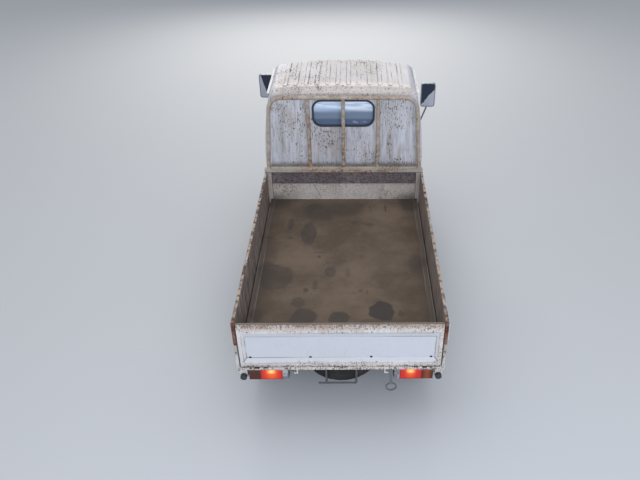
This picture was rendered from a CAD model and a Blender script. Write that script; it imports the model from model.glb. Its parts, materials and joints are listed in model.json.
import json
import math
from functools import reduce

import bpy
import numpy as np
from mathutils import Matrix, Vector


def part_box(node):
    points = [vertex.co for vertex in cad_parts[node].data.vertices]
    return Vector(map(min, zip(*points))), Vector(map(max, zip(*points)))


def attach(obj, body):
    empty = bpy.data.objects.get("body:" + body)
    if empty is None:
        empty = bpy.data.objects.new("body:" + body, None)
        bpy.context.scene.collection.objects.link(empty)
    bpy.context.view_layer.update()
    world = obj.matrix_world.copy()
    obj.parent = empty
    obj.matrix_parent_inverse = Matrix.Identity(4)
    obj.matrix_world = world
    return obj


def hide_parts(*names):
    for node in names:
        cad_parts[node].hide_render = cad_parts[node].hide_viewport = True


# A light cab-over truck with a drop-side bed. Metres; front towards -Y, its left side towards +X.
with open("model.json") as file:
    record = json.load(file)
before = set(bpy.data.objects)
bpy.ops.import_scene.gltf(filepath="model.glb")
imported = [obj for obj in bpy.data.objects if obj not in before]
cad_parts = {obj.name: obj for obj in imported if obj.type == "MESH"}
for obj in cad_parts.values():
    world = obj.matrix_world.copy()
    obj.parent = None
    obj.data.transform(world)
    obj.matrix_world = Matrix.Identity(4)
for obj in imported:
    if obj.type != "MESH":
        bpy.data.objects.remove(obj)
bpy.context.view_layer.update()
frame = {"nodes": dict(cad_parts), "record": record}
nodes = frame["nodes"]
SIDES = (("left", 1), ("right", -1))


def corners(node):
    """Lowest and highest corner of a CAD node as two numpy arrays."""
    low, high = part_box(node)
    return np.array(low), np.array(high)


# Places taken from the frame
TYRE_R = (corners("tyre_rear_left")[1][2] - corners("tyre_rear_left")[0][2]) / 2
GATE_TOP = corners("tailgate")[1][2]
SIDE_TOP = corners("side_gate_left")[1][2]
TAIL_Y = corners("side_gate_left")[1][1]
BED_HALF = 0.690
FLOOR_TOP = 0.660
ROOF_FRONT = corners("cab_roof")[0][1]
CAB_REAR = corners("cab_rear_wall")[1][1]

# Kinds of shader node, each with its settings
MATH = "ShaderNodeMath"
PLUS = (MATH, {"operation": "ADD"})
MINUS = (MATH, {"operation": "SUBTRACT"})
TIMES = (MATH, {"operation": "MULTIPLY"})
OVER = (MATH, {"operation": "DIVIDE"})
TIMES_PLUS = (MATH, {"operation": "MULTIPLY_ADD"})
MODULO = (MATH, {"operation": "FLOORED_MODULO"})
SIZE = (MATH, {"operation": "ABSOLUTE"})
ROOT = (MATH, {"operation": "SQRT"})
LARGER = (MATH, {"operation": "MAXIMUM"})
ABOVE = (MATH, {"operation": "GREATER_THAN"})
BELOW = (MATH, {"operation": "LESS_THAN"})
RAMP = ("ShaderNodeMapRange", {"interpolation_type": "SMOOTHSTEP"})
MIX = ("ShaderNodeMix", {"data_type": "RGBA"})
STRETCH = ("ShaderNodeVectorMath", {"operation": "MULTIPLY"})
NOISE = ("ShaderNodeTexNoise", {})
BUMP = ("ShaderNodeBump", {})
COORDINATES = ("ShaderNodeTexCoord", {})
SPLIT = ("ShaderNodeSeparateXYZ", {})


def linear(code):
    """An sRGB hex value as the linear red, green, blue and alpha that the shaders take."""
    channels = [int(code[i : i + 2], 16) / 255 for i in (1, 3, 5)]
    return [c / 12.92 if c <= 0.04045 else ((c + 0.055) / 1.055) ** 2.4 for c in channels] + [1.0]


def fill(tree, node, values):
    """Gives a node's sockets, by name or number, a value of their own or a link from another socket."""
    for socket, value in values.items():
        if isinstance(value, bpy.types.NodeSocket):
            tree.links.new(value, node.inputs[socket])
        else:
            node.inputs[socket].default_value = value


def add(tree, kind, *values, **named):
    """Adds a node and returns its first open output. Values fill its open sockets in order or by name."""
    kind_name, settings = kind
    node = tree.nodes.new(kind_name)
    for name, value in settings.items():
        setattr(node, name, value)
    free = [number for number, socket in enumerate(node.inputs) if socket.enabled]
    fill(tree, node, dict(zip(free, values)) | named)
    return next(socket for socket in node.outputs if socket.enabled)


# Masks go from 0 to 1, and a RAMP node's second and third values are where it is 0 and where it is 1
def all_of(tree, *masks):
    """Masks and numbers multiplied together."""
    return reduce(lambda a, b: add(tree, TIMES, a, b), masks)


def any_of(tree, *masks):
    """The largest of several masks."""
    return reduce(lambda a, b: add(tree, LARGER, a, b), masks)


def off(tree, value, middle):
    """How far a value lies from a middle one, on either side."""
    return add(tree, SIZE, add(tree, MINUS, value, middle))


def past(tree, value, edge, soft):
    """0 before an edge and 1 past it, smoothly over soft on both its sides; soft below 0 turns it round."""
    return add(tree, RAMP, value, edge - soft, edge + soft)


def near(tree, value, middle, reach, core):
    """1 within core of a middle value, smoothly down to 0 at reach from it."""
    return add(tree, RAMP, off(tree, value, middle), reach, core)


def off_centre(tree, a, b, centre, half):
    """How far a point lies from an ellipse's centre, squared: (a / half a)^2 + (b / half b)^2."""
    across = add(tree, OVER, add(tree, MINUS, a, centre[0]), half[0])
    along = add(tree, OVER, add(tree, MINUS, b, centre[1]), half[1])
    return add(tree, TIMES_PLUS, across, across, add(tree, TIMES, along, along))


def two_tone(tree, share, first, second):
    """The first hex colour turning to the second as share goes from 0 to 1."""
    return add(tree, MIX, share, linear(first), linear(second))


def tint(tree, colour, mask, strength, code):
    """A hex colour laid over another where the mask shows it."""
    return add(tree, MIX, add(tree, TIMES, mask, strength), colour, linear(code))


def place(tree):
    """Object coordinates in metres, whole and split into x, y and z."""
    whole = add(tree, COORDINATES).node.outputs["Object"]
    split = add(tree, SPLIT, whole).node.outputs
    return whole, split[0], split[1], split[2]


def grain(tree, where, size_mm, levels=None, stretch=(1, 1, 1), detail=3.0, rough=0.55):
    """Noise whose grains are about size_mm across, drawn out by stretch along each axis.

    Levels make it a mask that is 0 below the first of them and 1 above the second.
    """
    spread = add(tree, STRETCH, where, [1 / s for s in stretch])
    noise = add(tree, NOISE, spread, 500.0 / size_mm, detail, rough)
    return add(tree, RAMP, noise, *levels) if levels else noise


def material(name):
    """A new material with its node tree and its shader."""
    made = bpy.data.materials.new(name)
    made.use_nodes = True
    return made, made.node_tree, made.node_tree.nodes["Principled BSDF"]


def plain(name, colour, roughness, metallic=0.0, coat=0.0, grain_mm=None, variation=0.12, bump=0.0):
    """A finish of one colour, a little lighter and darker by a noise of a real size."""
    made, tree, shader = material(name)
    base = linear(colour)
    values = {"Base Color": base, "Roughness": roughness, "Metallic": metallic, "Coat Weight": coat}
    fill(tree, shader, values)
    if grain_mm:
        noise = grain(tree, place(tree)[0], grain_mm)
        darker = [c * (1 - variation) for c in base[:3]] + [1.0]
        lighter = [min(1.0, c * (1 + variation)) for c in base[:3]] + [1.0]
        fill(tree, shader, {"Base Color": add(tree, MIX, noise, darker, lighter)})
        if bump:
            fill(tree, shader, {"Normal": add(tree, BUMP, Height=noise, Distance=bump, Strength=0.6)})
    return made


RUST = "#6A4F3E"
DEEP_RUST = "#35302D"
TAN_STAIN = "#A08A6C"
JOINT_BLACK = "#231D19"


def weather(tree, where, paint, freckles, streaks, run, edge=None, size=1.0, brown=0.45):
    """Old enamel: paint, a thin grey film, dirt and tan runs, then small rust specks in loose clusters.

    freckles and streaks go from 0 to 1; run draws the runs out along one axis; edge is an extra
    mask where rust gathers; size scales the specks; brown is how much of the rust is brown, not black.
    Returns the colour and the mask of the rust.
    """
    short = tuple(r**0.45 for r in run)
    film = grain(tree, where, 60, (0.42, 0.66), stretch=run, detail=4.0, rough=0.6)
    paint = tint(tree, paint, film, 0.30, "#8D8D90")
    runs = grain(tree, where, 9, stretch=run, detail=5.0, rough=0.65)
    paint = tint(tree, paint, all_of(tree, add(tree, RAMP, runs, 0.50, 0.66), streaks), 0.62, "#6C6A67")
    clusters = grain(tree, where, 130, (0.38, 0.64), detail=4.0, rough=0.6)
    if edge is not None:
        clusters = any_of(tree, clusters, all_of(tree, edge, 1.25))
    # the level above which the noise is rust falls where the clusters are
    level = add(tree, TIMES_PLUS, clusters, -0.08 - 0.06 * freckles, 0.700 - 0.015 * freckles)
    fine = grain(tree, where, 5.5 * size, stretch=short, detail=3.0, rough=0.6)
    coarse = grain(tree, where, 11 * size, stretch=short, detail=5.0, rough=0.7)
    specks = add(tree, RAMP, fine, level, add(tree, PLUS, level, 0.03))
    blots = add(tree, RAMP, coarse, add(tree, PLUS, level, 0.02), add(tree, PLUS, level, 0.045))
    drips = all_of(tree, add(tree, RAMP, runs, 0.66, 0.74), streaks, 0.75)
    rust = any_of(tree, specks, blots, drips)
    stain = all_of(tree, grain(tree, where, 30, (0.50, 0.70), stretch=run, detail=4.0), streaks)
    stain = any_of(tree, stain, all_of(tree, clusters, 0.12 + 0.18 * freckles))
    colour = tint(tree, paint, stain, 0.7, TAN_STAIN)
    rusty = two_tone(tree, grain(tree, where, 14, (0.80 - brown, 1.00 - brown)), DEEP_RUST, RUST)
    return add(tree, MIX, all_of(tree, rust, 0.85), colour, rusty), rust


def finish_paint(tree, shader, colour, rust, gloss=0.38):
    """Paint is half glossy; where rust shows it is matt and stands a little proud."""
    rough = add(tree, TIMES_PLUS, rust, 0.85 - gloss, gloss)
    proud = add(tree, BUMP, Height=rust, Distance=0.0006, Strength=0.35)
    fill(tree, shader, {"Base Color": colour, "Roughness": rough, "Normal": proud})


# Patches of the cab's rear wall with more dirt: x, z, half width, half height, specks, tan stain
WALL_PATCHES = (
    (0.16, 1.22, 0.10, 0.12, 1.0, 0.2),
    (0.14, 1.06, 0.14, 0.12, 0.5, 0.2),
    (0.49, 1.36, 0.10, 0.16, 0.7, 0.6),
    (0.49, 1.17, 0.06, 0.10, 0.4, 1.0),
    (0.42, 1.03, 0.10, 0.08, 0.5, 0.3),
    (-0.15, 1.17, 0.10, 0.16, 0.6, 0.2),
    (-0.22, 1.03, 0.09, 0.08, 0.7, 0.2),
    (-0.40, 1.15, 0.03, 0.20, 0.8, 1.0),
    (-0.44, 1.34, 0.06, 0.03, 0.9, 0.5),
    (-0.52, 1.05, 0.05, 0.13, 0.5, 0.3),
    (0.55, 1.50, 0.10, 0.05, 0.9, 0.5),
    (0.33, 1.50, 0.04, 0.06, 0.9, 0.4),
    (-0.42, 1.55, 0.12, 0.03, 0.8, 0.4),
)


def cab_enamel():
    """White alkyd enamel on pressed steel: chalky, with rust freckles and runs down the walls."""
    made, tree, shader = material("chalky_white_cab_enamel")
    where, x, y, z = place(tree)
    on_wall = add(tree, ABOVE, y, CAB_REAR - 0.05)
    paint = two_tone(tree, grain(tree, where, 420, detail=2.0), "#D0D3DD", "#DDE0E9")
    lines = grain(tree, where, 4, (0.50, 0.62), stretch=(1, 1, 30), detail=4.0)
    paint = tint(tree, paint, lines, add(tree, TIMES_PLUS, on_wall, 0.21, 0.07), "#74757A")
    specks, stain = 0.0, 0.0
    for patch_x, patch_z, half_x, half_z, speck_share, stain_share in WALL_PATCHES:
        away = off_centre(tree, x, z, (patch_x, patch_z), (half_x, half_z))
        inside = add(tree, RAMP, away, 1.5, 0.3)
        specks = any_of(tree, specks, all_of(tree, inside, speck_share))
        stain = any_of(tree, stain, all_of(tree, inside, stain_share))
    scuffs = grain(tree, where, 35, (0.40, 0.62), stretch=(1, 1, 3), detail=5.0)
    paint = tint(tree, paint, all_of(tree, stain, on_wall, scuffs), 0.55, "#9C8E80")
    streaks = add(tree, TIMES_PLUS, on_wall, 0.38, 0.22)
    edge = all_of(tree, specks, on_wall, 0.92)
    colour, rust = weather(tree, where, paint, 0.70, streaks, (1, 1, 9), edge=edge, brown=0.32)
    finish_paint(tree, shader, colour, rust)
    return made


RIB_PITCH = 0.088
RIB_HALF = 0.017
RIBS_HALF_WIDTH = 0.50
EAVES_X = 0.565


def roof_enamel():
    """The same enamel on the roof, yellowed by the sun, with dirt along both sides of each rib."""
    made, tree, shader = material("sun_yellowed_roof_enamel")
    where, x, y, _ = place(tree)
    width = add(tree, SIZE, x)
    paint = two_tone(tree, grain(tree, where, 300), "#A0A1AA", "#B1B2BE")
    paint = tint(tree, paint, add(tree, RAMP, width, 0.22, 0.45), 0.40, "#D2D3DC")
    paint = tint(tree, paint, add(tree, RAMP, y, CAB_REAR - 0.17, CAB_REAR - 0.07), 0.85, "#DFD7D2")
    # the steep edge above each gutter is washed cleaner and paler
    paint = tint(tree, paint, past(tree, width, EAVES_X, 0.01), 0.75, "#E4E5EC")
    edge = all_of(tree, add(tree, RAMP, y, CAB_REAR - 0.30, CAB_REAR - 0.02), 0.52)
    colour, rust = weather(tree, where, paint, 0.75, 0.40, (1, 8, 1), edge=edge, brown=0.5)
    off_rib = off(tree, add(tree, MODULO, x, RIB_PITCH), RIB_PITCH / 2)
    dirt = all_of(
        tree,
        near(tree, off_rib, RIB_HALF, 0.0075, 0.0022),
        grain(tree, where, 20, (0.38, 0.58), stretch=(1, 6, 1), detail=5.0),
        add(tree, RAMP, width, RIBS_HALF_WIDTH + 0.015, RIBS_HALF_WIDTH),
        add(tree, RAMP, y, CAB_REAR - 0.06, CAB_REAR - 0.13),
        add(tree, RAMP, y, ROOF_FRONT + 0.08, ROOF_FRONT + 0.16),
    )
    finish_paint(tree, shader, tint(tree, colour, dirt, 0.9, "#51473F"), rust)
    return made


# The guard's low rail: its step, its foot, and the bars that stand on it
RAIL_TOP = 0.992
RAIL_STEP = 0.971
BAR_OFFSETS = (0.0, 0.291)
BAR_HALF = 0.0155
POST_X = 0.635


def guard_enamel():
    """Thin cream paint on steel tube, rusted through in small patches along its length."""
    made, tree, shader = material("rusted_cream_guard_paint")
    where, x, _, z = place(tree)
    width = add(tree, SIZE, x)
    paint = two_tone(tree, grain(tree, where, 90), "#A9A39C", "#C2B9AC")
    colour, rust = weather(tree, where, paint, 1.0, 0.3, (1, 1, 5))
    # more paint has gone from the rail's low middle, and from the bars towards their feet
    low_half = past(tree, z, RAIL_STEP, -0.003)
    low_middle = all_of(tree, low_half, add(tree, RAMP, width, 0.52, 0.25))
    rail_share = add(tree, TIMES_PLUS, low_middle, 0.80, 0.12)
    bar_share = add(tree, TIMES_PLUS, add(tree, RAMP, z, 1.45, 1.10), 0.38, 0.46)
    hoop = add(tree, TIMES_PLUS, add(tree, RAMP, width, 0.45, 0.55), -0.42, 1.0)
    bar_share = all_of(tree, bar_share, hoop)
    on_rail = add(tree, BELOW, z, RAIL_TOP)
    share = add(tree, TIMES_PLUS, on_rail, add(tree, MINUS, rail_share, bar_share), bar_share)
    wear = all_of(tree, grain(tree, where, 24, (0.42, 0.54), detail=6.0, rough=0.7), share)
    rusty = two_tone(tree, grain(tree, where, 13, (0.40, 0.60), detail=4.0), "#6B4C3B", "#AC8464")
    colour = add(tree, MIX, wear, colour, rusty)
    # between the bars the rail has a grimy top; it has a line at its step and grime at its foot
    clear = add(tree, BELOW, width, POST_X)
    for bar_x in BAR_OFFSETS:
        clear = all_of(tree, clear, add(tree, ABOVE, off(tree, width, bar_x), BAR_HALF))
    grimy = ((0.9990, 0.0150, 0.70, clear), (RAIL_STEP, 0.0018, 0.40, 1.0), (0.9435, 0.0060, 0.85, 1.0))
    for seam, half, dark, along in grimy:
        line = all_of(tree, near(tree, z, seam, half, half * 0.7), along)
        colour = tint(tree, colour, line, dark, "#5F5B55")
    finish_paint(tree, shader, colour, any_of(tree, rust, wear), 0.5)
    return made


# Inside the bed, the gates' faces lie on the bed side of these planes
SIDE_INNER_X = 0.6725
SIDE_RAIL_X = 0.6645
TAIL_INNER_Y = TAIL_Y - 0.0205


def gate_enamel():
    """White enamel outside, and inside the bed scraped grey-brown steel; the top edges are rusty."""
    made, tree, shader = material("white_gate_enamel_scraped_inside")
    where, x, y, z = place(tree)
    width = add(tree, SIZE, x)
    paint = two_tone(tree, grain(tree, where, 500, detail=2.0), "#D3D6DC", "#DEE1E6")
    top = all_of(tree, add(tree, RAMP, z, SIDE_TOP - 0.105, SIDE_TOP - 0.02), 0.9)
    colour, rust = weather(tree, where, paint, 0.5, 0.25, (1, 1, 8), edge=top)
    # long scrapes run down the inner faces and short scratches run along them
    scrapes = grain(tree, where, 16, (0.34, 0.66), stretch=(1, 1, 9), detail=5.0, rough=0.65)
    scratches = grain(tree, where, 10, (0.58, 0.68), stretch=(6, 7, 1), detail=5.0)
    scraped = tint(tree, two_tone(tree, scrapes, "#5A4E4A", "#998C83"), scratches, 0.7, "#A0968B")
    scraped = tint(tree, scraped, add(tree, BELOW, x, 0.0), 0.25, "#A3958B")
    on_side = add(tree, ABOVE, width, SIDE_RAIL_X)
    side_face = all_of(tree, add(tree, BELOW, width, SIDE_INNER_X), on_side)
    tail_face = all_of(tree, add(tree, BELOW, y, TAIL_INNER_Y), add(tree, MINUS, 1.0, on_side))
    inside = any_of(tree, side_face, tail_face)
    colour = add(tree, MIX, inside, colour, scraped)
    # the paint has gone from the rim and from the rear ends
    rim = add(tree, RAMP, z, SIDE_TOP - 0.006, SIDE_TOP - 0.002)
    end = all_of(tree, add(tree, RAMP, y, TAIL_Y - 0.012, TAIL_Y - 0.004), on_side)
    bare = any_of(tree, rim, end)
    mottle = grain(tree, where, 24, (0.38, 0.62), detail=5.0, rough=0.65)
    rim_rust = two_tone(tree, mottle, "#503A30", "#BBAB9C")
    end_rust = two_tone(tree, mottle, "#43241B", "#7A4A38")
    patchy = any_of(tree, grain(tree, where, 45, (0.34, 0.46), detail=4.0), all_of(tree, end, 0.9))
    rusty = add(tree, MIX, end, rim_rust, end_rust)
    colour = add(tree, MIX, all_of(tree, bare, patchy), colour, rusty)
    finish_paint(tree, shader, colour, any_of(tree, rust, inside, bare), 0.34)
    return made


DISH_FOOT, DISH_HEAD, DISH_HALF = 0.598, 0.848, 0.624
# Creases of the dish: low and high edge in z, half width in x, and how dirty the crease is
DISH_CREASES = ((0.591, 0.858, 0.638, 0.55), (0.6315, 0.8175, 0.619, 0.75))
CORNER_MARK_X, CORNER_MARK_Z = 0.628, 0.6195
# Beyond this x the tailgate's foot has no hinge, and a black joint shows
JOINT_END_X = 0.571


def tailgate_enamel():
    """The tailgate's white enamel: clean and bluish in the dish, rust-freckled on its border."""
    made, tree, shader = material("white_tailgate_enamel")
    where, x, y, z = place(tree)
    width = add(tree, SIZE, x)
    dish = all_of(
        tree,
        add(tree, RAMP, z, DISH_FOOT, DISH_FOOT + 0.01),
        add(tree, RAMP, z, DISH_HEAD + 0.01, DISH_HEAD),
        add(tree, RAMP, width, DISH_HALF + 0.01, DISH_HALF),
    )
    border = two_tone(tree, grain(tree, where, 500, detail=2.0), "#D0CCC8", "#DAD8D6")
    paint = add(tree, MIX, dish, border, linear("#C8CBD1"))
    top = add(tree, RAMP, z, GATE_TOP - 0.075, GATE_TOP - 0.01)
    edge = all_of(tree, any_of(tree, top, add(tree, RAMP, z, 0.595, 0.555)), 1.1)
    colour, rust = weather(tree, where, paint, 0.9, 0.3, (1, 1, 4), edge=edge, size=0.8, brown=0.5)
    tan = grain(tree, where, 26, (0.38, 0.60), stretch=(2, 1, 1), detail=5.0)
    colour = tint(tree, colour, all_of(tree, top, tan), 0.60, "#A88C74")
    # a dense scatter of fine rust under the top edge, denser on the left, and grime along the foot
    level = add(tree, TIMES_PLUS, add(tree, RAMP, z, GATE_TOP - 0.062, GATE_TOP - 0.004), -0.12, 0.67)
    crumbs = grain(tree, where, 9, stretch=(1.6, 1, 1), detail=4.0, rough=0.65)
    crumbs = add(tree, RAMP, crumbs, level, add(tree, PLUS, level, 0.04))
    leftwards = add(tree, TIMES_PLUS, add(tree, RAMP, x, -0.35, 0.30), 0.45, 0.55)
    colour = tint(tree, colour, all_of(tree, crumbs, top, leftwards), 0.75, "#6C564B")
    grime = grain(tree, where, 30, (0.44, 0.62), stretch=(3, 1, 1), detail=5.0, rough=0.65)
    colour = tint(tree, colour, all_of(tree, grime, add(tree, RAMP, z, 0.600, 0.550)), 0.55, "#6F6762")
    # the joint with the sill is a black line at both ends and a grey one between the hinges
    at_ends = past(tree, width, JOINT_END_X, 0.003)
    ends = all_of(tree, add(tree, RAMP, z, 0.5605, 0.5580), at_ends, 0.95)
    middle = all_of(tree, add(tree, RAMP, z, 0.5575, 0.5555), 0.35)
    colour = add(tree, MIX, any_of(tree, ends, middle), colour, linear(JOINT_BLACK))
    keep = add(tree, TIMES_PLUS, dish, -0.88, 1.0)
    colour = add(tree, MIX, keep, paint, colour)
    worn = grain(tree, where, 50, (0.36, 0.60), stretch=(6, 1, 1), detail=4.0)
    for low_z, high_z, half_x, dark in DISH_CREASES:
        level_lines = any_of(tree, near(tree, z, low_z, 0.0055, 0.001), near(tree, z, high_z, 0.0055, 0.001))
        level_lines = all_of(tree, level_lines, add(tree, RAMP, width, half_x + 0.004, half_x))
        upright_lines = all_of(
            tree,
            near(tree, width, half_x, 0.0055, 0.001),
            add(tree, RAMP, z, low_z - 0.004, low_z),
            add(tree, RAMP, z, high_z + 0.004, high_z),
        )
        crease = all_of(tree, any_of(tree, level_lines, upright_lines), worn)
        colour = tint(tree, colour, crease, dark, "#7A7874")
    # water has left a slanting dark mark at each low corner of the dish
    rise = add(tree, MINUS, z, CORNER_MARK_Z)
    aside = add(tree, TIMES, add(tree, MINUS, width, CORNER_MARK_X), 0.785)
    slant = add(tree, SIZE, add(tree, TIMES_PLUS, rise, 0.619, aside))
    mark = all_of(
        tree,
        add(tree, RAMP, slant, 0.0050, 0.0020),
        add(tree, BELOW, add(tree, SIZE, rise), 0.019),
        add(tree, RAMP, width, 0.605, 0.615),
    )
    colour = tint(tree, colour, mark, 0.75, "#5B5A5B")
    scraped = two_tone(tree, grain(tree, where, 60, detail=5.0), "#5B514B", "#857A72")
    inside = add(tree, BELOW, y, TAIL_INNER_Y)
    rim = add(tree, RAMP, z, GATE_TOP - 0.0035, GATE_TOP - 0.001)
    colour = add(tree, MIX, any_of(tree, inside, rim), colour, scraped)
    finish_paint(tree, shader, colour, any_of(tree, all_of(tree, rust, keep), inside), 0.30)
    return made


# A stain ends where its distance and the wobble add up to the edge, more or less softly
STAIN_EDGE = 1.63
STAIN_SOFT = 0.13
# Wet and dark places on the bed floor: x, y, half width in x, half length in y, how dark, how soft
FLOOR_STAINS = (
    (0.24, -0.13, 0.160, 0.150, 0.68, 3.0),
    (0.05, -0.19, 0.200, 0.110, 0.50, 3.0),
    (-0.08, -0.24, 0.090, 0.050, 0.40, 2.0),
    (0.449, 0.046, 0.026, 0.085, 0.55, 1.5),
    (0.290, 0.190, 0.060, 0.165, 0.58, 1.2),
    (-0.21, 0.05, 0.045, 0.035, 0.35, 2.5),
    (-0.09, 0.03, 0.030, 0.025, 0.35, 2.0),
    (0.493, 0.775, 0.120, 0.145, 0.56, 1.0),
    (0.58, 0.70, 0.080, 0.120, 0.50, 1.0),
    (0.092, 0.713, 0.045, 0.064, 0.50, 1.4),
    (-0.04, 0.72, 0.026, 0.075, 0.35, 2.5),
    (0.318, 1.060, 0.047, 0.065, 0.55, 1.4),
    (0.277, 1.225, 0.100, 0.100, 0.78, 1.0),
    (0.015, 1.250, 0.068, 0.075, 0.75, 1.0),
    (-0.285, 1.155, 0.094, 0.108, 1.00, 0.8),
    (-0.42, 1.188, 0.024, 0.040, 0.55, 2.0),
    (-0.20, 1.270, 0.080, 0.030, 0.40, 2.5),
    (-0.57, -0.26, 0.090, 0.120, 0.65, 3.0),
    (0.58, -0.32, 0.130, 0.120, 0.65, 3.0),
    (-0.57, 0.60, 0.090, 0.085, 0.55, 3.0),
    (0.60, 1.20, 0.050, 0.060, 0.50, 2.5),
    (0.188, 0.514, 0.014, 0.020, 0.65, 1.5),
    (0.270, 0.926, 0.018, 0.026, 0.65, 1.5),
    (0.204, 0.872, 0.016, 0.055, 0.45, 2.0),
    (0.61, 0.255, 0.048, 0.012, 0.70, 1.5),
    (0.55, 0.625, 0.078, 0.012, 0.75, 1.2),
    (0.438, 0.255, 0.022, 0.020, 0.50, 2.0),
    (-0.365, -0.205, 0.009, 0.055, 0.65, 1.5),
    (-0.228, -0.205, 0.008, 0.045, 0.50, 1.5),
    (0.17, 0.46, 0.130, 0.008, 0.30, 2.0),
    (-0.135, 0.936, 0.018, 0.018, 0.45, 2.0),
    (-0.184, 0.952, 0.010, 0.030, 0.40, 2.0),
)
# Outside these places the floor's node is its white shell: the sill, the corner stubs and the front posts
SILL_Y = TAIL_Y - 0.0245
STUB_X = 0.6615
POST_FOOT = FLOOR_TOP + 0.018
PLATE_FOOT = 0.631
SIDE_STRIP_X = 0.6205


def floor_steel():
    """Steel floor worn to a brown film of rust and old paint, with dark wet patches."""
    made, tree, shader = material("worn_brown_bed_steel")
    where, x, y, z = place(tree)
    width = add(tree, SIZE, x)
    cloud = grain(tree, where, 220, detail=6.0, rough=0.6)
    colour = two_tone(tree, add(tree, RAMP, cloud, 0.34, 0.66), "#5B4D40", "#776656")
    specks = grain(tree, where, 14, (0.60, 0.72), detail=4.0, rough=0.7)
    colour = tint(tree, colour, specks, 0.35, "#857A68")
    scuffs = grain(tree, where, 12, (0.58, 0.70), stretch=(7, 1, 1), detail=5.0, rough=0.65)
    colour = tint(tree, colour, scuffs, 0.3, "#443B33")
    pits = grain(tree, where, 16, (0.62, 0.70), detail=5.0, rough=0.7)
    colour = tint(tree, colour, pits, 0.45, "#3F362F")
    colour = tint(tree, colour, add(tree, RAMP, width, 0.50, 0.62), 0.30, "#4A413B")
    # a narrow greyer strip runs along each side, with a pale scraped line on both its edges
    strip = past(tree, width, SIDE_STRIP_X, 0.0015)
    colour = tint(tree, colour, strip, 0.45, "#6C625C")
    scrape = grain(tree, where, 40, (0.36, 0.56), stretch=(1, 8, 1), detail=5.0)
    for edge_x, bright in ((0.656, 0.75), (SIDE_STRIP_X, 0.35)):
        line = all_of(tree, near(tree, width, edge_x, 0.005, 0.0015), scrape)
        colour = tint(tree, colour, line, bright, "#A39A92")
    # each wet place is an ellipse whose edge wavers with the noise
    wobble = all_of(tree, grain(tree, where, 80, rough=0.5), 1.3)
    wet = 0.0
    for stain_x, stain_y, half_x, half_y, dark, soft in FLOOR_STAINS:
        away = add(tree, ROOT, off_centre(tree, x, y, (stain_x, stain_y), (half_x, half_y)))
        spot = past(tree, add(tree, PLUS, wobble, away), STAIN_EDGE, -STAIN_SOFT * soft)
        wet = any_of(tree, wet, all_of(tree, spot, dark))
    wet = all_of(tree, wet, add(tree, RAMP, z, FLOOR_TOP - 0.004, FLOOR_TOP - 0.001))
    colour = tint(tree, colour, wet, 0.9, "#35302D")
    sill = add(tree, ABOVE, y, SILL_Y)
    shell = any_of(tree, add(tree, ABOVE, width, STUB_X), sill, add(tree, ABOVE, z, POST_FOOT))
    fresh = two_tone(tree, add(tree, RAMP, z, FLOOR_TOP, FLOOR_TOP + 0.01), "#D8D6D2", "#B3ABA4")
    low = add(tree, RAMP, z, 0.62, 0.50)
    paint = weather(tree, where, fresh, 0.9, 0.3, (1, 1, 6), edge=low)[0]
    joint = all_of(
        tree,
        sill,
        add(tree, RAMP, z, 0.5405, 0.5430),
        past(tree, width, JOINT_END_X, 0.003),
        add(tree, BELOW, width, 0.661),
    )
    colour = add(tree, MIX, shell, colour, tint(tree, paint, joint, 0.95, JOINT_BLACK))
    under = all_of(tree, past(tree, z, PLATE_FOOT, -0.001), add(tree, MINUS, 1.0, shell))
    colour = add(tree, MIX, under, colour, linear("#2B2623"))
    rough = add(tree, TIMES_PLUS, wet, -0.25, 0.8)
    dents = add(tree, BUMP, Height=cloud, Distance=0.002, Strength=0.4)
    fill(tree, shader, {"Base Color": colour, "Roughness": rough, "Normal": dents})
    return made


BAND_FOOT = 0.825
SCRATCH_X, SCRATCH_Z = 0.241, 0.757


def headboard_enamel():
    """Cream enamel on the panel, and a scraped dark band along the top board."""
    made, tree, shader = material("cream_headboard_enamel")
    where, x, _, z = place(tree)
    paint = linear("#C6C1BB")
    colour, rust = weather(tree, where, paint, 1.0, 0.35, (1, 1, 2), edge=0.45, size=0.75, brown=0.35)
    low_ends = all_of(tree, add(tree, RAMP, z, 0.76, 0.66), add(tree, RAMP, add(tree, SIZE, x), 0.36, 0.62))
    colour = tint(tree, colour, low_ends, 0.75, "#4E463F")
    # one long scratch slants down the panel
    slant = add(tree, TIMES_PLUS, add(tree, MINUS, z, SCRATCH_Z), -0.432, add(tree, MINUS, x, SCRATCH_X))
    scratch = add(tree, RAMP, add(tree, SIZE, slant), 0.0035, 0.0015)
    colour = tint(tree, colour, all_of(tree, scratch, add(tree, ABOVE, z, 0.69)), 0.75, "#3D3733")
    blotches = grain(tree, where, 9, (0.34, 0.66), stretch=(1.3, 1, 1), detail=5.0, rough=0.7)
    broad = grain(tree, where, 150, (0.42, 0.62), stretch=(1, 1, 3))
    dark = tint(tree, two_tone(tree, blotches, "#4A4447", "#7E7475"), broad, 0.35, "#4A4144")
    band = past(tree, z, BAND_FOOT, 0.003)
    colour = add(tree, MIX, band, colour, dark)
    finish_paint(tree, shader, colour, any_of(tree, rust, band), 0.45)
    return made


def chipped_enamel(name, colour, freckles, streaks, run):
    """Enamel of one colour, chipped and freckled with rust."""
    made, tree, shader = material(name)
    painted, rust = weather(tree, place(tree)[0], linear(colour), freckles, streaks, run)
    finish_paint(tree, shader, painted, rust, 0.45)
    return made


TOW_RING_X = -0.339


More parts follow.
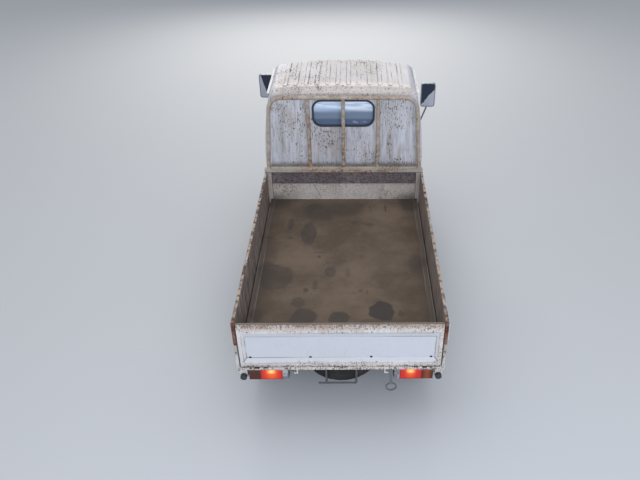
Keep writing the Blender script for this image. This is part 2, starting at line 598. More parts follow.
def chassis_paint():
    """Black chassis paint under road dust, rusted brown in patches."""
    made, tree, shader = material("rusty_black_chassis_paint")
    where, x, y, _ = place(tree)
    patches = grain(tree, where, 90, (0.46, 0.62), detail=6.0, rough=0.65)
    colour = two_tone(tree, patches, "#1D1C1B", "#4A382C")
    colour = tint(tree, colour, grain(tree, where, 200, (0.45, 0.8)), 0.4, "#5E5850")
    # the tow ring at the tail is bare, greyed by use
    beside_ring = add(tree, BELOW, off(tree, x, TOW_RING_X), 0.040)
    ring = all_of(tree, beside_ring, add(tree, ABOVE, y, TAIL_Y - 0.035))
    fill(tree, shader, {"Base Color": tint(tree, colour, ring, 0.8, "#6F7076"), "Roughness": 0.78})
    return made


def tyre_rubber():
    """Black tyre rubber, greyed by road dust in soft patches."""
    made, tree, shader = material("dusty_tyre_rubber")
    dust = grain(tree, place(tree)[0], 80, (0.40, 0.70), detail=5.0)
    colour = tint(tree, linear("#1C1B1B"), dust, 0.5, "#45413D")
    fill(tree, shader, {"Base Color": colour, "Roughness": 0.82})
    return made


GLASS_IOR = 1.5


def window_glass():
    """Float glass under a thin dry film of dust, thicker in soft patches."""
    made, tree, shader = material("dusty_float_glass")
    film = grain(tree, place(tree)[0], 160, (0.40, 0.66), detail=4.0)
    colour = two_tone(tree, film, "#B9C6D0", "#D3DCE2")
    clear = add(tree, TIMES_PLUS, film, -0.12, 0.88)
    values = {"Base Color": colour, "Transmission Weight": clear, "Roughness": 0.04, "IOR": GLASS_IOR}
    fill(tree, shader, values)
    return made


def rear_glass():
    """The rear window: float glass whose dust veils it, pale above and blue-grey below."""
    made, tree, shader = material("dust_veiled_rear_glass")
    where, x, _, z = place(tree)
    streaked = grain(tree, where, 50, stretch=(8, 1, 1), detail=4.0)
    height = add(tree, TIMES_PLUS, streaked, 0.030, add(tree, MINUS, z, 0.015))
    upper = add(tree, RAMP, height, 1.448, 1.505)
    lower = add(tree, RAMP, height, 1.412, 1.388)
    bands = grain(tree, where, 14, (0.40, 0.60), stretch=(10, 1, 1), detail=5.0)
    colour = add(tree, MIX, upper, linear("#93A8C0"), two_tone(tree, bands, "#BFD2E6", "#F6FBFF"))
    colour = add(tree, MIX, lower, colour, linear("#6F84A0"))
    # a small place low on the right is wiped
    away = off_centre(tree, x, z, (-0.135, 1.373), (0.065, 0.014))
    wiped = all_of(tree, add(tree, RAMP, away, 1.3, 0.3), grain(tree, where, 18, (0.40, 0.56), detail=4.0))
    # the bright ground ahead of the cab shows through the dust in the upper part
    values = {
        "Base Color": tint(tree, colour, wiped, 0.8, "#C9D6E6"),
        "Transmission Weight": add(tree, TIMES_PLUS, upper, -0.24, 0.30),
        "Emission Color": linear("#A9CBFF"),
        "Emission Strength": all_of(tree, upper, 0.16),
        "Roughness": 0.05,
        "IOR": GLASS_IOR,
    }
    fill(tree, shader, values)
    return made


# Places across a tail lamp, from the truck's middle outwards
LENS_RED_X, LENS_AMBER_X = 0.393, 0.541
BULB_X, AMBER_BULB_X = 0.467, 0.577


def tail_lens():
    """Moulded acrylic: amber at the outer end, red in the middle and clear inside, with the lamp lit."""
    made, tree, shader = material("lit_acrylic_tail_lens")
    where, x, _, z = place(tree)
    width = add(tree, SIZE, x)
    on_left = add(tree, ABOVE, x, 0.0)
    red = past(tree, width, LENS_RED_X, 0.001)
    amber = past(tree, width, LENS_AMBER_X, 0.001)
    backing = two_tone(tree, grain(tree, where, 14, (0.42, 0.58), detail=4.0), "#6F727A", "#A6A5A6")
    colour = add(tree, MIX, red, backing, linear("#B4190D"))
    colour = add(tree, MIX, amber, colour, linear("#5A2815"))
    # the light is brightest at the bulb and falls away, further on the left lamp
    from_bulb = off_centre(tree, width, z, (BULB_X, 0.500), (0.055, 0.036))
    core = add(tree, RAMP, add(tree, ROOT, from_bulb), 0.75, 0.05)
    from_below = off_centre(tree, width, z, (BULB_X, 0.490), (0.055, 0.085))
    wider = add(tree, TIMES_PLUS, on_left, 0.25, 1.05)
    middle = add(tree, RAMP, add(tree, ROOT, from_below), wider, 0.15)
    glow = two_tone(tree, middle, "#F03A30", "#FF8534")
    glow = add(tree, MIX, core, glow, linear("#FFCB70"))
    glow = add(tree, MIX, amber, glow, linear("#E0641A"))
    # the lens turns down and in at its foot and ends, away from the bulb
    foot = add(tree, RAMP, z, 0.4375, 0.4290)
    ends = any_of(tree, add(tree, RAMP, width, 0.404, 0.396), add(tree, RAMP, width, 0.530, 0.539))
    shaded = any_of(tree, foot, all_of(tree, ends, 0.65))
    lit = all_of(tree, red, add(tree, MINUS, 1.0, amber))
    halo = add(tree, TIMES_PLUS, middle, add(tree, TIMES_PLUS, on_left, 0.07, 0.28), 0.155)
    bulb = add(tree, TIMES_PLUS, core, 0.90, halo)
    power = all_of(tree, lit, bulb, add(tree, TIMES_PLUS, shaded, -0.9, 1.0))
    # light spills into the right lamp's amber end
    spill = all_of(tree, amber, add(tree, BELOW, x, 0.0), near(tree, width, AMBER_BULB_X, 0.035, 0.0))
    values = {
        "Base Color": tint(tree, colour, all_of(tree, shaded, red), 0.8, "#3E0E0A"),
        "Emission Color": glow,
        "Emission Strength": add(tree, TIMES_PLUS, spill, 0.24, power),
        "Roughness": 0.18,
    }
    fill(tree, shader, values)
    return made


MIRROR_HALF_WIDTH, MIRROR_HALF_HEIGHT = 0.0595, 0.108
# The dust on the left glass and on the right one: side, the glass's middle in x and z, slope, offset
MIRROR_FILMS = ((ABOVE, 0.7520, 1.336, 1.92, 0.59), (BELOW, 0.7850, 1.338, 0.735, 0.16))


def mirror_glass():
    """Tinted anti-dazzle mirror glass, with its low outer corner under a pale film of dust.

    The film's edge is a slanting line across each glass.
    """
    made, tree, shader = material("dusty_tinted_mirror_glass")
    where, x, _, z = place(tree)
    width = add(tree, SIZE, x)
    film = 0.0
    for side, centre_x, centre_z, slope, offset in MIRROR_FILMS:
        out = add(tree, OVER, add(tree, MINUS, width, centre_x), MIRROR_HALF_WIDTH)
        up = add(tree, OVER, add(tree, MINUS, z, centre_z), MIRROR_HALF_HEIGHT)
        beyond = add(tree, MINUS, add(tree, TIMES_PLUS, out, slope, -offset), up)
        beyond = add(tree, TIMES_PLUS, grain(tree, where, 25), 0.5, beyond)
        here = add(tree, side, x, 0.0)
        film = any_of(tree, film, all_of(tree, add(tree, RAMP, beyond, 0.22, 0.30), here))
    values = {
        "Base Color": two_tone(tree, film, "#3C4350", "#B4B8C2"),
        "Metallic": add(tree, TIMES_PLUS, film, -0.85, 1.0),
        "Roughness": add(tree, TIMES_PLUS, film, 0.45, 0.06),
    }
    fill(tree, shader, values)
    return made


CHASSIS = chassis_paint()
# The finish of each material slot
FINISHES = {
    "cab_paint": cab_enamel(),
    "bed_paint": gate_enamel(),
    "bed_floor_metal": floor_steel(),
    "chassis_paint": CHASSIS,
    "axle_paint": CHASSIS,
    "guard_paint": guard_enamel(),
    # Silver-grey enamel sprayed on pressed wheels: satin, freckled with rust
    "wheel_paint": chipped_enamel("silver_wheel_enamel", "#A9A8A5", 0.8, 0.0, (1, 1, 1)),
    # Ivory enamel on pressed steel: half glossy, faintly blotched
    "bumper_paint": plain("ivory_bumper_enamel", "#B9B7B1", 0.42, grain_mm=60, variation=0.15),
    "tyre_rubber": tyre_rubber(),
    "clear_glass": window_glass(),
    "tail_lens": tail_lens(),
    # Chromed rim and silvered reflector: a bright, nearly sharp mirror
    "front_lens": plain("sealed_beam_headlamp", "#D5D6D8", 0.16, 1.0),
    # Sand-cast iron: rough, oily and grey-brown
    "engine_metal": plain("oily_cast_iron", "#4A4642", 0.6, 0.5, grain_mm=20, variation=0.4, bump=0.0008),
    # Aluminised steel pipe burnt and rusted brown, nearly matt
    "exhaust_metal": plain("browned_exhaust_steel", "#6B4C3A", 0.75, 0.3, grain_mm=40, variation=0.45),
    # Moulded amber acrylic: glossy and evenly coloured
    "amber_lens": plain("amber_acrylic_lens", "#C8691C", 0.2, coat=0.4),
    # Extruded rubber: slightly shiny, weathered to a bluish grey
    "seal_rubber": plain("weathered_seal_rubber", "#343B4A", 0.55, grain_mm=15, variation=0.2),
    # Moulded rubber: matt under dust
    "stop_rubber": plain("dusty_stop_rubber", "#33383A", 0.8, grain_mm=8, variation=0.25),
    # Black injection-moulded plastic: gone grey and dull in the sun
    "grille_plastic": plain("sun_greyed_grille_plastic", "#2A2B2C", 0.6, grain_mm=25, variation=0.2),
    # ABS moulded with a fine grain: an even soft sheen
    "dash_plastic": plain("grained_dash_plastic", "#26272A", 0.62, grain_mm=3, variation=0.15, bump=0.0002),
    # Chromed steel shells gone dull: a blurred grey mirror
    "mirror_plastic": plain("dull_chromed_mirror_shell", "#8E939B", 0.40, 0.6, grain_mm=25, variation=0.15),
    # Black vinyl with a pressed grain: a low, broad gloss
    "seat_cloth": plain("black_seat_vinyl", "#2B2A2D", 0.5, grain_mm=2, variation=0.15, bump=0.0001),
}
# Pieces whose finish isn't their slot's
OWN_FINISHES = {
    "cab_roof": roof_enamel(),
    "tailgate": tailgate_enamel(),
    "headboard": headboard_enamel(),
    "bed_brackets": chipped_enamel("chipped_white_bracket_enamel", "#D3D1CE", 0.9, 0.2, (1, 1, 3)),
    # Galvanised bar gone dull grey, with no mirror left
    "spare_carrier": plain("dull_galvanised_bar", "#5C5D60", 0.6, 0.4, grain_mm=30, variation=0.3),
    "rear_window": rear_glass(),
}
# Zinc-plated steel under a brown film: dull metal
ZINC = plain("dull_zinc_plate", "#7C7670", 0.5, 0.8, grain_mm=5, variation=0.3)
# Bare steel rusted brown all over: matt
RUSTY_STEEL = plain("rusted_bare_steel", "#57402F", 0.85, 0.2, grain_mm=10, variation=0.45)
# Hinge leaves whose paint has gone, rusted almost black: matt
DARK_RUST = plain("dark_rusted_hinge_leaf", "#2A1C18", 0.85, grain_mm=6, variation=0.5)
# The dark inside of a hole
BLACK_HOLE = plain("black_inside", "#0D0C0C", 0.9)
MIRROR_GLASS = mirror_glass()
# Extruded wiper rubber and its black-painted arm: a low sheen
BLACK_RUBBER = plain("black_wiper_rubber", "#161617", 0.6)
# Moulded rubber mat: matt and dusty
FLOOR_MAT = plain("grey_rubber_floor_mat", "#3A3836", 0.85, grain_mm=12, variation=0.3)
# Grained vinyl over board: a soft sheen
TRIM_VINYL = plain("grey_door_trim_vinyl", "#5A5C60", 0.6, grain_mm=3, variation=0.12)
# Card printed matt black, with white print
DIAL_FACE = plain("matt_black_dial_card", "#121214", 0.7)
DIAL_MARK = plain("white_dial_print", "#D8D8D2", 0.6)

slot_of = {part["node"]: part["material_slot"] for part in frame["record"]["subparts"]}
for name, piece in nodes.items():
    piece.data.materials.clear()
    piece.data.materials.append(OWN_FINISHES.get(name, FINISHES[slot_of[name]]))


# Building new pieces
def shape(name, points, faces, finish, body, slot=None, smooth=True, edge=None):
    """A mesh object from arrays of points and faces, finished and riding on a CAD body.

    An edge, its width and number of segments, rounds the corners of a piece with flat faces.
    """
    mesh = bpy.data.meshes.new(name)
    corner_points = np.asarray(points, dtype=float).reshape(-1, 3).tolist()
    mesh.from_pydata(corner_points, [], [list(map(int, face)) for face in faces])
    mesh.update()
    if smooth and not edge:
        mesh.polygons.foreach_set("use_smooth", np.ones(len(mesh.polygons), dtype=bool))
    made = bpy.data.objects.new(name, mesh)
    bpy.context.scene.collection.objects.link(made)
    made.data.materials.append(finish)
    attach(made, body)
    if edge:
        rounding = made.modifiers.new("edge", "BEVEL")
        rounding.width, rounding.segments = edge
    return made


def circle(count):
    """Angles of count points evenly round a circle."""
    return np.linspace(0, 2 * math.pi, count, endpoint=False)


def grid_faces(rows, columns, wrap_rows=False, wrap_columns=False, start=0):
    """Quads between the points of a grid kept row by row, joined end to end where a side wraps."""
    i = np.arange(rows if wrap_rows else rows - 1)
    j = np.arange(columns if wrap_columns else columns - 1)
    a, b = np.meshgrid(i, j, indexing="ij")
    below, right = (a + 1) % rows, (b + 1) % columns
    row, next_row = a * columns, below * columns
    quads = np.stack([row + b, row + right, next_row + right, next_row + b], axis=-1)
    return quads.reshape(-1, 4) + start


def tube(path, radius, sides=12):
    """Points and faces of a round bar along a path: a circle set square to the path at each point."""
    path = np.asarray(path, dtype=float)
    run = np.gradient(path, axis=0)
    run /= np.linalg.norm(run, axis=1, keepdims=True)
    up = np.where(np.abs(run[:, 2:]) < 0.9, [[0.0, 0.0, 1.0]], [[1.0, 0.0, 0.0]])
    side = np.cross(run, up)
    side /= np.linalg.norm(side, axis=1, keepdims=True)
    other = np.cross(side, run)
    turn = circle(sides)
    ring = side[:, None] * np.cos(turn)[None, :, None] + other[:, None] * np.sin(turn)[None, :, None]
    size = np.broadcast_to(np.asarray(radius, dtype=float), (len(path),))[:, None, None]
    points = (path[:, None] + ring * size).reshape(-1, 3)
    last = (len(path) - 1) * sides
    faces = [list(face) for face in grid_faces(len(path), sides, wrap_columns=True)]
    faces += [list(range(sides))[::-1], list(range(last, last + sides))]
    return points, faces


def gather(parts):
    """Several (points, faces) pairs as one."""
    points, faces, start = [], [], 0
    for part_points, part_faces in parts:
        part_points = np.asarray(part_points).reshape(-1, 3)
        points.append(part_points)
        faces += [[int(v) + start for v in face] for face in part_faces]
        start += len(part_points)
    return np.concatenate(points), faces


def turned(profile, centre, axis, sides=32):
    """A round form: profile is (distance along the axis, radius), turned about axis through centre."""
    axis = np.asarray(axis, dtype=float) / np.linalg.norm(axis)
    helper = np.array([0.0, 0.0, 1.0]) if abs(axis[2]) < 0.9 else np.array([1.0, 0.0, 0.0])
    side = np.cross(axis, helper)
    side /= np.linalg.norm(side)
    other = np.cross(axis, side)
    turn = circle(sides)
    ring = side * np.cos(turn)[:, None] + other * np.sin(turn)[:, None]
    along, radius = np.asarray(profile, dtype=float).T
    points = np.asarray(centre) + axis * along[:, None, None] + ring[None] * radius[:, None, None]
    last = (len(profile) - 1) * sides
    faces = [list(face)[::-1] for face in grid_faces(len(profile), sides, wrap_columns=True)]
    faces += [list(range(sides)), list(range(last, last + sides))[::-1]]
    return points.reshape(-1, 3), faces


def slab(low, high):
    """The eight corners and six faces of a box."""
    x, y, z = np.meshgrid(*[[a, b] for a, b in zip(low, high)], indexing="ij")
    points = np.stack([x, y, z], axis=-1).reshape(-1, 3)
    return points, [[0, 1, 3, 2], [4, 6, 7, 5], [0, 4, 5, 1], [2, 3, 7, 6], [0, 2, 6, 4], [1, 5, 7, 3]]


def bolt(centre, axis, radius, height):
    """A hexagon head with a chamfered top, on a washer."""
    washer = turned([(0.0, radius * 1.5), (0.0015, radius * 1.5), (0.0016, 0.0005)], centre, axis, 20)
    hexagon = [(0.0, radius), (height * 0.8, radius), (height, radius * 0.82), (height, 0.0004)]
    head = turned(hexagon, centre, axis, 6)
    return gather([washer, head])


# Tyres with a rib-and-block road tread
TYRE_HALF = 0.070
TYRE_BEAD_R = 0.1525
TYRE_BEAD_HALF = 0.0507
TYRE_WALL_R = 0.166
TYRE_WIDEST_R = 0.212
TREAD_HALF = 0.056
TREAD_DROP = 0.010
TREAD_DEPTH = 0.007
SHOULDER_FROM = 0.012
GROOVES = (-0.033, -SHOULDER_FROM, SHOULDER_FROM, 0.033)
GROOVE_HALF = 0.0028
BLOCKS = 64


def tyre_surface(low, high, axle, side_up):
    """A closed tyre: one outline of distance across and radius, turned round the axle by an angle.

    The outline is the wall's arc and the crown's arc. The radius drops by the groove depth in four
    straight grooves and, on the shoulders, in slanting cross grooves.
    """
    quarter = math.pi / 2
    wall = np.linspace(0, 1, 12)
    wall_a = TYRE_BEAD_HALF + (TYRE_HALF - TYRE_BEAD_HALF) * np.sin(wall * quarter) ** 0.8
    wall_r = TYRE_WALL_R + (TYRE_WIDEST_R - TYRE_WALL_R) * wall
    upper = np.linspace(0, 1, 10)[1:]
    upper_a = TYRE_HALF - (TYRE_HALF - TREAD_HALF) * (1 - np.cos(upper * quarter))
    upper_r = TYRE_WIDEST_R + (TYRE_R - TREAD_DROP - TYRE_WIDEST_R) * np.sin(upper * quarter)
    crown_a = np.linspace(TREAD_HALF, -TREAD_HALF, 57)[1:-1]
    crown_r = TYRE_R - TREAD_DROP * (np.abs(crown_a) / TREAD_HALF) ** 2.2
    half_a = np.concatenate([[TYRE_BEAD_HALF], wall_a, upper_a])
    half_r = np.concatenate([[TYRE_BEAD_R], wall_r, upper_r])
    outline_a = np.concatenate([half_a, crown_a, -half_a[::-1]])
    outline_r = np.concatenate([half_r, crown_r, half_r[::-1]])
    turns = BLOCKS * 6
    across, angle = np.meshgrid(outline_a, circle(turns))
    radius = np.broadcast_to(outline_r, across.shape).copy()
    straight = np.zeros_like(across)
    for groove in GROOVES:
        straight = np.maximum(straight, (np.abs(across - groove) < GROOVE_HALF) * 1.0)
    slant = (angle * BLOCKS / (2 * math.pi) + np.abs(across) * 26) % 1.0
    on_shoulder = (np.abs(across) > SHOULDER_FROM) * (np.abs(across) < TREAD_HALF + 0.004)
    cross = (slant < 0.2) * on_shoulder * 0.75
    on_tread = radius > TYRE_R - 0.013
    radius -= TREAD_DEPTH * np.maximum(straight, cross) * on_tread
    axle = np.asarray(axle, dtype=float)
    side_up = np.asarray(side_up, dtype=float)
    points = (low + high) / 2 + axle * across[..., None]
    points = points + side_up * (radius * np.cos(angle))[..., None]
    points = points + np.cross(axle, side_up) * (radius * np.sin(angle))[..., None]
    return points, grid_faces(turns, len(outline_a), wrap_rows=True, wrap_columns=True)[:, ::-1]


SIDEWAYS, BACKWARDS, UPWARDS = (1, 0, 0), (0, 1, 0), (0, 0, 1)
wheels = ("front_left", "front_right", "rear_left", "rear_right")
tyres = [(f"tyre_{wheel}", f"wheel_{wheel}", SIDEWAYS, UPWARDS) for wheel in wheels]
tyres.append(("spare_tyre", "body", UPWARDS, SIDEWAYS))
for tyre, body, axle, side_up in tyres:
    points, faces = tyre_surface(*corners(tyre), axle, side_up)
    made = shape(f"tread_{tyre}", points, faces, FINISHES["tyre_rubber"], body, "tyre_rubber")
    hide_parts(tyre)

# Seats: vinyl cushions and backs with sewn channels and a sewn border
SEAT_MIDDLE = 0.3425
CUSHION_SIZE, CUSHION_LEAN = (0.445, 0.43, 0.115), -4
BACK_SIZE, BACK_LEAN = (0.445, 0.56, 0.10), 79
CHANNELS = (-0.55, -0.18, 0.18, 0.55)
CHANNEL_DEPTH, CHANNEL_WIDTH = 0.009, 0.006
BORDER_AT, BORDER_DEPTH, BORDER_WIDTH = 0.86, 0.007, 0.005


def cushion_surface(size, crown, cells=40, power=5.0):
    """A closed stuffed form: a cube grid pulled to a rounded box, |x|^p + |y|^p + |z|^p = 1.

    The top is crowned by (1 - x^2)(1 - y^2) and pressed in along each sewn channel by a bell curve.
    """
    line = np.linspace(-1, 1, cells)
    u, v = np.meshgrid(line, line, indexing="ij")
    points, faces, start = [], [], 0
    for axis in range(3):
        for sign in (-1, 1):
            side = np.empty((cells, cells, 3))
            side[..., axis] = sign
            side[..., (axis + 1) % 3] = u
            side[..., (axis + 2) % 3] = v
            quads = grid_faces(cells, cells, start=start)
            faces.append(quads if sign < 0 else quads[:, ::-1])
            points.append(side.reshape(-1, 3))
            start += cells * cells
    points = np.concatenate(points)
    points = points / (np.abs(points) ** power).sum(axis=1, keepdims=True) ** (1 / power)
    x, y, z = points.T.copy()
    upper = np.clip(z, 0, 1)
    lift = crown * (1 - x**2) * (1 - y**2) * upper
    for channel in CHANNELS:
        off_channel = (y - channel) * size[1] / 2 / CHANNEL_WIDTH
        lift -= CHANNEL_DEPTH * np.exp(-(off_channel**2)) * upper * (np.abs(x) < BORDER_AT)
    off_border = np.abs(np.abs(x) - BORDER_AT) * size[0] / 2 / BORDER_WIDTH
    lift -= BORDER_DEPTH * np.exp(-(off_border**2)) * upper
    points = points * np.array(size) / 2
    points[:, 2] += lift
    return points, np.concatenate(faces)


def seat_piece(name, size, crown, lean, centre):
    """A stuffed form leaned about the X axis by a rotation matrix, its seams welded, and padded."""
    points, faces = cushion_surface(size, crown)
    c, s = math.cos(math.radians(lean)), math.sin(math.radians(lean))
    points = points @ np.array([[1, 0, 0], [0, c, s], [0, -s, c]]) + np.array(centre)
    made = shape(name, points, faces, FINISHES["seat_cloth"], "body", "seat_cloth")
    weld = made.modifiers.new("weld", "WELD")
    weld.merge_threshold = 0.0001
    return made


for word, side in SIDES:
    middle = side * SEAT_MIDDLE
    cushion = seat_piece(f"seat_cushion_{word}", CUSHION_SIZE, 0.022, CUSHION_LEAN, (middle, -0.955, 0.698))
    seat_piece(f"seat_back_{word}", BACK_SIZE, 0.02, BACK_LEAN, (middle, -0.655, 1.005))
    if side > 0:
        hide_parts("seats")

# Mirror glass in each head, facing back: a rounded rectangle with a chamfered edge
MIRROR_CORNER = 0.018
HEAD_BACK = {"left": TAIL_Y - 2.940 + 0.023, "right": TAIL_Y - 2.720 + 0.023}
turn = circle(48)
arc_x = np.sign(np.cos(turn)) * (MIRROR_HALF_WIDTH - MIRROR_CORNER) + MIRROR_CORNER * np.cos(turn)
arc_z = np.sign(np.sin(turn)) * (MIRROR_HALF_HEIGHT - MIRROR_CORNER) + MIRROR_CORNER * np.sin(turn)
for word, side in SIDES:
    low, high = corners(f"mirror_{word}")
    middle_x = high[0] - 0.0675 if side > 0 else low[0] + 0.0675
    middle_z = high[2] - 0.116
    rings = []
    for proud, share in ((0.0, 1.0), (0.0022, 1.0), (0.0026, 0.97)):
        y = np.full(len(turn), HEAD_BACK[word] - 0.0038 + proud)
        rings.append(np.stack([middle_x + arc_x * share, y, middle_z + arc_z * share], axis=-1))
    faces = [list(face) for face in grid_faces(3, 48, wrap_columns=True)]
    faces += [list(range(48))[::-1], list(range(96, 144))]
    shape(f"mirror_glass_{word}", np.concatenate(rings), faces, MIRROR_GLASS, f"door_{word}", smooth=False)

# Drain holes, hinge leaves and bolts of the bed
low_hole = [(0.0, 0.0090), (0.0006, 0.0090), (0.0008, 0.0003)]
high_hole = [(0.0, 0.0045), (0.0006, 0.0045), (0.0008, 0.0003)]
holes = []
for x in (-0.595, -0.2, 0.2, 0.595):
    holes.append(turned(low_hole, (x, TAIL_Y - 0.0118, 0.634), BACKWARDS, 20))
    holes.append(turned(high_hole, (x, TAIL_Y - 0.0005, 0.868), BACKWARDS, 16))
shape("tailgate_drain_holes", *gather(holes), BLACK_HOLE, "tailgate")
leaves = []
for x in (-0.556, -0.497, -0.023, 0.029, 0.497, 0.556):
    leaves.append(slab((x - 0.0150, TAIL_Y - 0.0005, 0.5410), (x + 0.0150, TAIL_Y + 0.0020, 0.5570)))
shape("tailgate_hinge_leaves", *gather(leaves), DARK_RUST, "tailgate", edge=(0.0008, 2))
bolts = []
for _, side in SIDES:
    bolts.append(bolt((side * 0.681, TAIL_Y, 0.690), BACKWARDS, 0.0042, 0.0035))
    for z in (0.60, 0.90):
        bolts.append(bolt((side * BED_HALF, -0.3535, z), (side, 0, 0), 0.005, 0.004))
    for x in (0.36, 0.60):
        bolts.append(bolt((side * x, TAIL_Y - 0.008, 0.533), BACKWARDS, 0.005, 0.004))
shape("bed_bolts", *gather(bolts), ZINC, "body", smooth=False)
plates = []
for middle in (-0.5, 0.0, 0.5):
    for x in (middle - 0.028, middle + 0.028):
        plates.append(slab((x - 0.012, TAIL_Y - 0.008, 0.531), (x + 0.012, TAIL_Y - 0.004, 0.545)))
shape("hinge_plates", *gather(plates), RUSTY_STEEL, "body", edge=(0.001, 2))

# Wipers on the windscreen
SCREEN_FOOT = np.array([0.0, -1.537, 0.985])
SCREEN_UP = np.array([0.0, 0.5163, 0.8564])
SCREEN_OUT = np.array([0.0, -0.8564, 0.5163])
BLADE_HALFWAY = 0.62


def screen_point(x, up):
    """A point on the windscreen's outer face: up metres along its slope, x metres aside.

    The screen leans back by 425 over 705 and curves back by x squared over twice the nose radius.
    """
    return SCREEN_FOOT + SCREEN_UP * up + np.array([x, x * x / 5.2, 0.0])


wipers = []
for pivot_x, reach in ((0.30, -0.42), (-0.20, -0.40)):
    foot = screen_point(pivot_x, 0.010) + SCREEN_OUT * 0.012
    head = screen_point(pivot_x + reach * BLADE_HALFWAY, 0.075) + SCREEN_OUT * 0.014
    raised = SCREEN_OUT * 0.012
    arm = [foot - SCREEN_OUT * 0.004, foot + raised, (foot + head) / 2 + raised, head + SCREEN_OUT * 0.006]
    wipers.append(tube(arm, 0.0045, 8))
    pivot_cap = [(0, 0.013), (0.016, 0.011), (0.018, 0.0005)]
    wipers.append(turned(pivot_cap, foot - SCREEN_OUT * 0.004, SCREEN_OUT, 20))
    blade = []
    for s in np.linspace(-0.5, 0.5, 12):
        on_screen = screen_point(pivot_x + reach * (BLADE_HALFWAY + s * 0.75), 0.075 + s * 0.05)
        blade.append(on_screen + SCREEN_OUT * 0.007)
    wipers.append(tube(blade, 0.005, 8))
shape("wipers", *gather(wipers), BLACK_RUBBER, "body")

# Headlamp glass: a dome whose depth is 1 - r^2, ribbed by a cosine across, with a flat back
LAMP_R = 0.077
LAMP_FACE_Y, LAMP_BACK_Y = -1.5365, -1.5345
LAMP_RIB_PITCH = 0.011
radial, angle = np.meshgrid(np.linspace(0.0, 1.0, 16), circle(72), indexing="ij")
dx, dz = radial * LAMP_R * np.cos(angle), radial * LAMP_R * np.sin(angle)
ribs = 0.0009 * np.cos(dx * 2 * math.pi / LAMP_RIB_PITCH) * (radial < 0.95)
bulge = 0.012 * (1 - radial**2) + ribs
for word, side in SIDES:
    face = np.stack([side * 0.5 + dx, LAMP_FACE_Y - bulge, 0.690 + dz], axis=-1)
    back = face[::-1] * [1, 0, 1] + [0, LAMP_BACK_Y, 0]
    dome = np.concatenate([face, back])
    faces = grid_faces(32, 72, wrap_columns=True)
    shape(f"headlamp_glass_{word}", dome, faces, FINISHES["clear_glass"], "body", "clear_glass")

# Inside the cab: levers and pedals, instruments, mats, visors, mirror, door trims and winders
knob = [(-0.02, 0.002), (-0.016, 0.016), (0.0, 0.021), (0.016, 0.016), (0.02, 0.002)]
levers = [
    tube([(-0.04, -1.18, 0.64), (-0.04, -1.24, 0.80), (-0.05, -1.20, 0.90)], [0.008, 0.007, 0.006], 10),
    tube([(0.06, -1.0, 0.645), (0.06, -1.12, 0.70), (0.06, -1.17, 0.715)], [0.010, 0.011, 0.013], 10),
    turned(knob, (-0.05, -1.20, 0.912), UPWARDS, 20),
]
for x in (-0.25, -0.34, -0.43):
    levers.append(tube([(x, -1.44, 0.68), (x, -1.40, 0.60), (x, -1.36, 0.55)], 0.007, 8))
    levers.append(slab((x - 0.03, -1.365, 0.525), (x + 0.03, -1.350, 0.565)))
shape("levers_and_pedals", *gather(levers), FINISHES["dash_plastic"], "body", "dash_plastic")

hood = slab((-0.46, -1.345, 0.965), (-0.20, -1.270, 1.045))
shape("instrument_hood", *hood, FINISHES["dash_plastic"], "body", "dash_plastic", edge=(0.014, 3))
DIAL_TICKS = 9
card = [(0.0, 0.033), (0.002, 0.033), (0.0021, 0.0005)]
bezel = [(0.0, 0.037), (0.004, 0.037), (0.004, 0.034), (0.0025, 0.034)]
dials, marks = [], []
for x in (-0.385, -0.275):
    centre = np.array([x, -1.2695, 1.006])
    above_face = centre + [0, 0.0024, 0]
    dials.append(turned(card, centre, BACKWARDS, 36))
    marks.append(turned(bezel, centre, BACKWARDS, 36))
    for step in range(DIAL_TICKS):
        angle = math.radians(225 - step * 270 / (DIAL_TICKS - 1))
        outwards = np.array([-math.cos(angle), 0, math.sin(angle)])
        marks.append(tube([above_face + outwards * 0.024, above_face + outwards * 0.030], 0.0009, 6))
    marks.append(tube([centre + [0, 0.0026, 0], centre + [0.012, 0.0026, 0.016]], 0.0009, 6))
shape("dial_faces", *gather(dials), DIAL_FACE, "body", smooth=False)
shape("dial_marks", *gather(marks), DIAL_MARK, "body")

mats = [slab((x, -1.43, 0.4702), (x + 0.54, -1.26, 0.4752)) for x in (-0.60, 0.06)]
shape("floor_mats", *gather(mats), FLOOR_MAT, "body", edge=(0.002, 2))
visors = [slab((x, -1.095, 1.500), (x + 0.36, -1.081, 1.600)) for x in (-0.46, 0.10)]
shape("sun_visors", *gather(visors), TRIM_VINYL, "body", edge=(0.006, 3))
stalk = tube([(0, -1.143, 1.545), (0, -1.110, 1.62)], 0.007, 8)
inner_mirror = gather([slab((-0.10, -1.150, 1.49), (0.10, -1.136, 1.55)), stalk])
shape("inner_mirror", *inner_mirror, FINISHES["dash_plastic"], "body", edge=(0.005, 3))

TRIM_FACE_X = 0.6555
for word, side in SIDES:
    outer, inner = sorted((side * 0.6605, side * TRIM_FACE_X))
    panel = slab((outer, -1.33, 0.66), (inner, -0.68, 0.955))
    outer, inner = sorted((side * TRIM_FACE_X, side * 0.61))
    rest = slab((outer, -1.10, 0.80), (inner, -0.84, 0.835))
    shape(f"door_trim_{word}", *gather([panel, rest]), TRIM_VINYL, f"door_{word}", edge=(0.004, 2))
    hub = np.array([side * TRIM_FACE_X, -1.18, 0.80])
    inward = np.array([-side, 0.0, 0.0])
    handle = hub + inward * 0.022 + [0, 0.05, -0.075]
    crank = [hub + inward * 0.016, hub + inward * 0.022 + [0, 0.04, -0.05], handle + inward * 0.002]
    winder = [
        turned([(0.0, 0.016), (0.018, 0.014), (0.02, 0.0005)], hub, inward, 20),
        tube(crank, 0.005, 8),
        turned([(0.0, 0.007), (0.03, 0.009), (0.032, 0.0005)], handle, inward, 16),
    ]
    shape(f"window_winder_{word}", *gather(winder), ZINC, f"door_{word}")

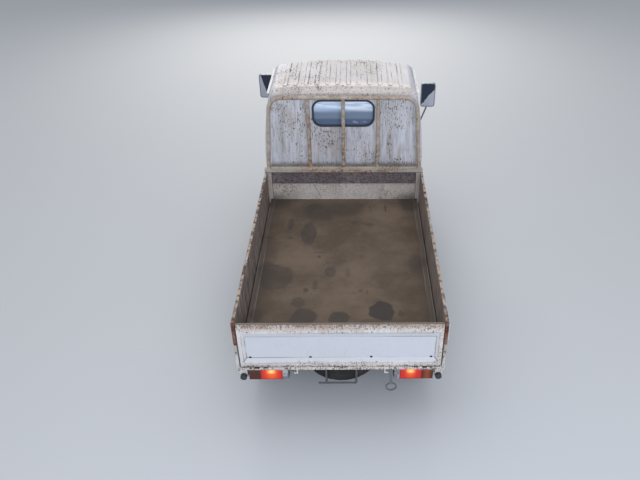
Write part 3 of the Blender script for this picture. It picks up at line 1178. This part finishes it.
# Studio: pale floor, sky light and soft lamps
world = bpy.data.worlds.new("soft_daylight")
bpy.context.scene.world = world
world.use_nodes = True
sky = world.node_tree.nodes["Background"]
fill(world.node_tree, sky, {"Color": linear("#E9EEF4"), "Strength": 0.60})
FLOOR_HALF = 30
floor_points = [(-FLOOR_HALF, -FLOOR_HALF, 0), (FLOOR_HALF, -FLOOR_HALF, 0)]
floor_points += [(FLOOR_HALF, FLOOR_HALF, 0), (-FLOOR_HALF, FLOOR_HALF, 0)]
floor_mesh = bpy.data.meshes.new("studio_floor")
floor_mesh.from_pydata(floor_points, [], [(0, 1, 2, 3)])
studio_floor = bpy.data.objects.new("studio_floor", floor_mesh)
bpy.context.scene.collection.objects.link(studio_floor)
studio_floor.data.materials.append(plain("pale_floor", "#C9CCD0", 0.7))


def lamp(name, where, target, size, power, colour):
    """A square soft lamp aimed at a point."""
    light = bpy.data.lights.new(name, "AREA")
    light.size = size
    light.energy = power
    light.color = linear(colour)[:3]
    made = bpy.data.objects.new(name, light)
    made.location = where
    made.rotation_euler = (Vector(target) - Vector(where)).to_track_quat("-Z", "Y").to_euler()
    bpy.context.scene.collection.objects.link(made)


lamp("overhead", (0.5, 1.6, 6.5), (0, 0.6, 0.6), 5.0, 80, "#FFFFFF")
lamp("doorway", (0.5, -7.5, 4.2), (0, -0.5, 1.0), 5.0, 240, "#FFF8F0")
lamp("rear_fill", (-1.0, 7.0, 3.8), (0, 0.5, 0.7), 5.0, 275, "#EEF2FF")

# Camera at the photograph's place, solved from the bed's corners: millimetres from the tail at gate height
FRAME_WIDTH_PX = 640
FOCAL_PX = 639.12
CENTRE_PX = 363.61
SENSOR_MM = 36.0
CAMERA_SPOT = (91.26, -2976.93, 2749.20)
PITCH, YAW, ROLL = 0.617196, -0.017568, 0.007698
GATE_HEIGHT = 0.950
spot = np.array([-CAMERA_SPOT[0] / 1000, TAIL_Y - CAMERA_SPOT[1] / 1000, GATE_HEIGHT + CAMERA_SPOT[2] / 1000])
# In the solved axes x runs to the truck's right and y forwards, so both turn round here
flip = np.array([-1.0, -1.0, 1.0])
upright = np.array([0.0, 0.0, 1.0])
right = np.array([math.cos(YAW), math.sin(YAW), 0.0])
ahead = np.array([-math.sin(YAW), math.cos(YAW), 0.0])
look = math.cos(PITCH) * ahead - math.sin(PITCH) * upright
lift = math.sin(PITCH) * ahead + math.cos(PITCH) * upright
across = (math.cos(ROLL) * right + math.sin(ROLL) * lift) * flip
above = (math.cos(ROLL) * lift - math.sin(ROLL) * right) * flip
behind = -look * flip
camera_data = bpy.data.cameras.new("camera")
camera_data.sensor_width = SENSOR_MM
camera_data.lens = FOCAL_PX / FRAME_WIDTH_PX * SENSOR_MM
camera_data.shift_x = -(CENTRE_PX - FRAME_WIDTH_PX / 2) / FRAME_WIDTH_PX
camera_data.clip_end = 100
camera = bpy.data.objects.new("camera", camera_data)
bpy.context.scene.collection.objects.link(camera)
camera.matrix_world = Matrix([*np.stack([across, above, behind, spot], axis=1).tolist(), [0, 0, 0, 1]])
bpy.context.scene.camera = camera
bpy.context.scene.view_settings.view_transform = "Standard"
